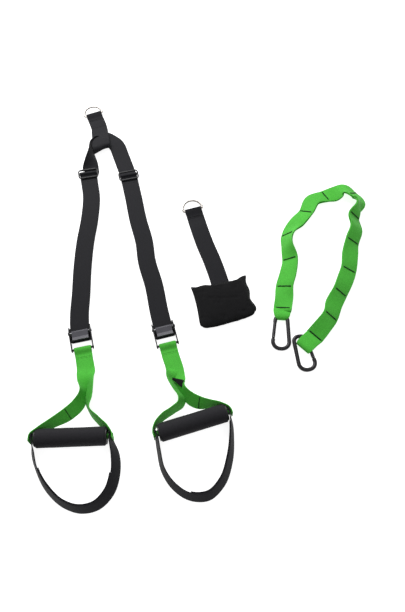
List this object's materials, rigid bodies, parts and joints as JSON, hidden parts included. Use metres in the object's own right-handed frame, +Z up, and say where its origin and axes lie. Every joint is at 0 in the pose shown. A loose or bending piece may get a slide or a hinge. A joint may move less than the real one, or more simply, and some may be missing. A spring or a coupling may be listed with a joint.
{
  "type": "suspension trainer kit",
  "caption": "Suspension trainer with adjustable strap legs, cam buckles, foam grips and foot cradles, with a multi-loop extension strap and a door anchor, laid flat.",
  "frame": {"origin": "on the floor under the middle of the laid-out kit", "axes": "+X towards the extension strap, +Y from the handles towards the anchor rings, +Z up"},
  "size_m": [0.677, 0.964, 0.035],
  "materials": {
    "black_webbing": "woven polyester webbing, semi-matte",
    "green_webbing": "woven polyester webbing, bright green, semi-matte",
    "ring_steel": "nickel plated wire",
    "black_steel": "black powder coat",
    "cam_grey": "dark grey powder coat",
    "zinc_steel": "blackened steel pin",
    "spring_steel": "bright spring wire",
    "slider_plastic": "moulded black plastic",
    "tube_plastic": "moulded black plastic",
    "grip_foam": "closed-cell foam, fine pores",
    "label_cloth": "plain woven label",
    "dark_thread": "dense thread bar tack",
    "carabiner_coat": "dark anodised rod",
    "pad_cloth": "matte woven nylon",
    "pad_foam": "soft foam block"
  },
  "bodies": {
    "anchor": {"anchor_loop": "black_webbing", "strap_saddle": "black_webbing"},
    "anchor_ring": {"anchor_ring": "ring_steel"},
    "left_leg": {"left_main_strap": "black_webbing"},
    "left_buckle": {"left_buckle_frame": "black_steel", "left_buckle_bar": "black_steel", "left_cam_pin": "zinc_steel", "left_tail_strap": "black_webbing"},
    "left_slider": {"left_slider": "slider_plastic"},
    "left_cam": {"left_cam_lever": "cam_grey", "left_cam_spring": "spring_steel"},
    "left_sling": {"left_sling": "green_webbing"},
    "left_grip": {"left_grip_tube": "tube_plastic", "left_grip_foam": "grip_foam", "left_grip_caps": "tube_plastic"},
    "left_cradle": {"left_cradle_strap": "black_webbing", "left_cradle_ply": "black_webbing"},
    "right_leg": {"right_main_strap": "black_webbing"},
    "right_buckle": {"right_buckle_frame": "black_steel", "right_buckle_bar": "black_steel", "right_cam_pin": "zinc_steel", "right_tail_strap": "black_webbing"},
    "right_slider": {"right_slider": "slider_plastic"},
    "right_cam": {"right_cam_lever": "cam_grey", "right_cam_spring": "spring_steel"},
    "right_sling": {"right_sling": "green_webbing", "right_sling_label": "label_cloth"},
    "right_grip": {"right_grip_tube": "tube_plastic", "right_grip_foam": "grip_foam", "right_grip_caps": "tube_plastic"},
    "right_cradle": {"right_cradle_strap": "black_webbing", "right_cradle_ply": "black_webbing"},
    "extension": {"extension_back_ply": "green_webbing", "extension_front_ply": "green_webbing", "extension_bar_tacks": "dark_thread"},
    "carabiner_a": {"carabiner_a": "carabiner_coat", "gate_pin_a": "zinc_steel"},
    "gate_a": {"gate_a": "carabiner_coat"},
    "carabiner_b": {"carabiner_b": "carabiner_coat", "gate_pin_b": "zinc_steel"},
    "gate_b": {"gate_b": "carabiner_coat"},
    "door_strap": {"door_strap": "black_webbing"},
    "door_ring": {"door_ring": "ring_steel"},
    "door_pad": {"pad_cover": "pad_cloth", "pad_foam": "pad_foam"}
  },
  "joints": [
    {"name": "anchor_ring_swing", "type": "hinge", "parent": "anchor", "child": "anchor_ring", "pos_m": [-0.286, 0.45456, 0.00415], "axis": [0.9272, 0.3746, 0], "range_deg": [-120, 150]},
    {"name": "left_leg_lift", "type": "hinge", "parent": "anchor", "child": "left_leg", "pos_m": [-0.29782, 0.32899, 0.0009], "axis": [-0.9732, -0.23, 0], "range_deg": [-45, 90]},
    {"name": "left_length_adjust", "type": "slide", "parent": "left_leg", "child": "left_buckle", "axis": [0.0338, -0.9994, 0], "range_m": [-0.015, 0.3], "deforming": ["left_main_strap", "left_tail_strap"]},
    {"name": "left_slider_follow", "type": "slide", "parent": "left_buckle", "child": "left_slider", "axis": [0.0338, -0.9994, 0], "range_m": [-0.015, 0.3]},
    {"name": "left_cam_release", "type": "hinge", "parent": "left_buckle", "child": "left_cam", "pos_m": [-0.26459, -0.1389, 0.011], "axis": [-0.9748, -0.2233, 0], "range_deg": [0, 55], "stiffness_Nm_per_rad": 0.25, "springref_deg": -11.46},
    {"name": "left_sling_fold", "type": "hinge", "parent": "left_buckle", "child": "left_sling", "pos_m": [-0.257, -0.17204, 0.0045], "axis": [-0.9748, -0.2233, 0], "range_deg": [-60, 120]},
    {"name": "left_grip_spin", "type": "hinge", "parent": "left_sling", "child": "left_grip", "pos_m": [-0.2598, -0.35424, 0.0175], "axis": [0.9993, 0.0384, 0], "continuous": true},
    {"name": "left_cradle_fold", "type": "hinge", "parent": "left_sling", "child": "left_cradle", "pos_m": [-0.2598, -0.35424, 0.0175], "axis": [-0.9993, -0.0384, 0], "range_deg": [-100, 100]},
    {"name": "right_leg_lift", "type": "hinge", "parent": "anchor", "child": "right_leg", "pos_m": [-0.22088, 0.36547, 0.0009], "axis": [-0.9585, -0.285, 0], "range_deg": [-45, 90]},
    {"name": "right_length_adjust", "type": "slide", "parent": "right_leg", "child": "right_buckle", "axis": [0.2259, -0.9741, 0], "range_m": [-0.015, 0.3], "deforming": ["right_main_strap", "right_tail_strap"]},
    {"name": "right_slider_follow", "type": "slide", "parent": "right_buckle", "child": "right_slider", "axis": [0.2259, -0.9741, 0], "range_m": [-0.015, 0.3]},
    {"name": "right_cam_release", "type": "hinge", "parent": "right_buckle", "child": "right_cam", "pos_m": [-0.09821, -0.13003, 0.011], "axis": [-0.965, -0.2622, 0], "range_deg": [0, 55], "stiffness_Nm_per_rad": 0.25, "springref_deg": -11.46},
    {"name": "right_sling_fold", "type": "hinge", "parent": "right_buckle", "child": "right_sling", "pos_m": [-0.0893, -0.16284, 0.0045], "axis": [-0.965, -0.2622, 0], "range_deg": [-60, 120]},
    {"name": "right_grip_spin", "type": "hinge", "parent": "right_sling", "child": "right_grip", "pos_m": [-0.0378, -0.32684, 0.0175], "axis": [0.9532, 0.3024, 0], "continuous": true},
    {"name": "right_cradle_fold", "type": "hinge", "parent": "right_sling", "child": "right_cradle", "pos_m": [-0.0378, -0.32684, 0.0175], "axis": [-0.9532, -0.3024, 0], "range_deg": [-100, 100]},
    {"name": "extension_lift", "type": "slide", "parent": "anchor", "child": "extension", "axis": [0, 0, 1], "range_m": [0, 0.2], "deforming": ["extension_front_ply"]},
    {"name": "carabiner_a_swing", "type": "hinge", "parent": "extension", "child": "carabiner_a", "pos_m": [0.14005, -0.10024, 0.006], "axis": [1, 0, 0], "range_deg": [-90, 90]},
    {"name": "gate_a_open", "type": "hinge", "parent": "carabiner_a", "child": "gate_a", "pos_m": [0.12095, -0.14767, 0.006], "axis": [0, 0, -1], "range_deg": [0, 30], "stiffness_Nm_per_rad": 0.05, "springref_deg": -11.46},
    {"name": "carabiner_b_swing", "type": "hinge", "parent": "extension", "child": "carabiner_b", "pos_m": [0.1884, -0.16124, 0.006], "axis": [0.7071, -0.7071, 0], "range_deg": [-90, 90]},
    {"name": "gate_b_open", "type": "hinge", "parent": "carabiner_b", "child": "gate_b", "pos_m": [0.19673, -0.19062, 0.006], "axis": [0, 0, 1], "range_deg": [0, 30], "stiffness_Nm_per_rad": 0.05, "springref_deg": -11.46},
    {"name": "door_anchor_lift", "type": "slide", "parent": "anchor", "child": "door_strap", "axis": [0, 0, 1], "range_m": [0, 0.2]},
    {"name": "door_ring_swing", "type": "hinge", "parent": "door_strap", "child": "door_ring", "pos_m": [-0.0412, 0.16676, 0.00415], "axis": [0.9558, 0.294, 0], "range_deg": [-120, 150]},
    {"name": "door_pad_fold", "type": "hinge", "parent": "door_strap", "child": "door_pad", "pos_m": [0.01514, -0.01533, 0.0018], "axis": [-0.9659, -0.2588, 0], "range_deg": [-90, 90]}
  ],
  "couplings": [
    {"joint": "left_slider_follow", "follows": "left_length_adjust", "ratio": 1},
    {"joint": "right_slider_follow", "follows": "right_length_adjust", "ratio": 1}
  ]
}
